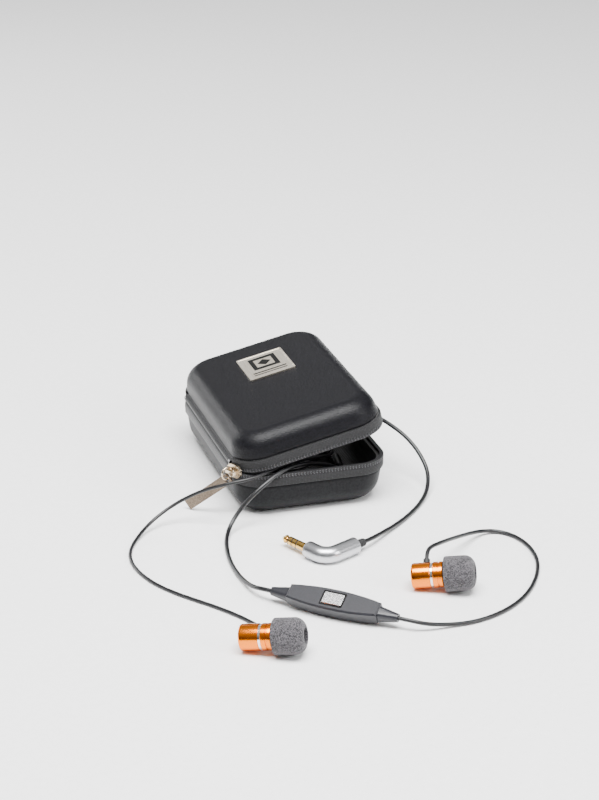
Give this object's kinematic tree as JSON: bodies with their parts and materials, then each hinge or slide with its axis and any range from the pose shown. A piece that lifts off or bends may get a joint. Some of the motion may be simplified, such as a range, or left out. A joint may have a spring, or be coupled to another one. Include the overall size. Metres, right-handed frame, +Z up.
{
  "type": "in ear monitors",
  "caption": "Wired in-ear monitors with foam tips, an in-line remote and a right-angle jack plug, lying out of an open zipped clamshell case.",
  "frame": {"origin": "centre of the case's flat underside, on the surface that everything lies on", "axes": "+Z up; +X from the case's hinge to its opening side; +Y along the hinge, away from the earpieces"},
  "size_m": [0.156, 0.2202, 0.0463],
  "materials": {
    "case_leather": "smooth glazed black leather-look skin on a moulded shell",
    "zip_tape": "black woven zip tape",
    "zip_teeth": "dark nylon zip coil with paler stitch lines",
    "case_lining": "black brushed knit lining",
    "badge_metal": "brushed champagne nickel plate",
    "zip_metal": "champagne nickel plated die casting",
    "anodised_orange": "turned aluminium, anodised copper orange",
    "polished_band": "polished nickel",
    "nozzle_metal": "bead blasted aluminium",
    "screen_steel": "perforated stainless screen",
    "driver_can": "black moulded driver capsule",
    "sleeve_rubber": "soft black moulded rubber",
    "tip_foam": "charcoal slow-recovery foam, open and speckled",
    "core_rubber": "dark elastomer tube",
    "remote_plastic": "dark grey moulded plastic with a fine spark texture",
    "button_metal": "bright plated button cap",
    "frame_black": "gloss black moulded frame",
    "board_laminate": "green solder-masked laminate",
    "component_metal": "stamped steel cans",
    "cable_jacket": "smooth black elastomer jacket",
    "plug_metal": "satin bead blasted aluminium",
    "jack_gold": "gold plated contacts",
    "jack_insulator": "black insulating rings"
  },
  "bodies": {
    "root": {"button_frame": "frame_black", "case_lower_shell": "case_leather", "jack_insulators": "jack_insulator", "jack_ring_1": "jack_gold", "jack_ring_2": "jack_gold", "jack_sleeve": "jack_gold", "jack_tip": "jack_gold", "left_cable": "cable_jacket", "left_cable_sleeve": "sleeve_rubber", "left_driver": "driver_can", "left_front_housing": "anodised_orange", "left_nozzle": "nozzle_metal", "left_nozzle_screen": "screen_steel", "left_polished_ring": "polished_band", "left_rear_housing": "anodised_orange", "lower_lining": "case_lining", "lower_zip_coil": "zip_teeth", "lower_zip_tape": "zip_tape", "main_cable_coil": "cable_jacket", "main_cable_lead": "cable_jacket", "microphone": "component_metal", "plug_cable": "cable_jacket", "plug_elbow": "plug_metal", "plug_strain_relief": "sleeve_rubber", "remote_board": "board_laminate", "remote_bottom_shell": "remote_plastic", "remote_cable": "cable_jacket", "remote_inlet_relief": "remote_plastic", "remote_outlet_relief": "remote_plastic", "remote_top_shell": "remote_plastic", "right_cable": "cable_jacket", "right_cable_sleeve": "sleeve_rubber", "right_driver": "driver_can", "right_front_housing": "anodised_orange", "right_nozzle": "nozzle_metal", "right_nozzle_screen": "screen_steel", "right_polished_ring": "polished_band", "right_rear_housing": "anodised_orange", "spine_hinge": "case_leather", "tact_switch": "component_metal", "y_splitter": "cable_jacket", "zip_end_tacks": "zip_tape", "zip_slider": "zip_metal"},
    "lid": {"case_upper_shell": "case_leather", "upper_lining": "case_lining", "upper_zip_tape": "zip_tape", "upper_zip_coil": "zip_teeth", "badge_plate": "badge_metal"},
    "ring": {"pull_ring": "zip_metal"},
    "pull": {"pull_tab": "zip_metal"},
    "button": {"remote_button": "button_metal"},
    "left_tip": {"left_foam_tip": "tip_foam", "left_tip_core": "core_rubber"},
    "right_tip": {"right_foam_tip": "tip_foam", "right_tip_core": "core_rubber"}
  },
  "joints": [
    {"name": "lid_hinge", "type": "hinge", "parent": "root", "child": "lid", "pos_m": [-0.0324, 0, 0.024], "axis": [0, -1, 0], "range_deg": [0, 120]},
    {"name": "ring_swing", "type": "hinge", "parent": "root", "child": "ring", "pos_m": [-0.03373, -0.04264, 0.0201], "axis": [0, 0, 1], "range_deg": [-25, 25]},
    {"name": "pull_swing", "type": "hinge", "parent": "ring", "child": "pull", "pos_m": [-0.03609, -0.04373, 0.0175], "axis": [-0.6898, -0.7234, -0.0295], "range_deg": [-35, 40]},
    {"name": "button_press", "type": "slide", "parent": "root", "child": "button", "axis": [0.3154, 0.3478, -0.8829], "range_m": [0, 0.0003], "stiffness_N_per_m": 3000},
    {"name": "left_tip_pull", "type": "slide", "parent": "root", "child": "left_tip", "axis": [0.8621, -0.4858, 0.1439], "range_m": [0, 0.012]},
    {"name": "right_tip_pull", "type": "slide", "parent": "root", "child": "right_tip", "axis": [0.8909, -0.4307, 0.1439], "range_m": [0, 0.012]}
  ]
}
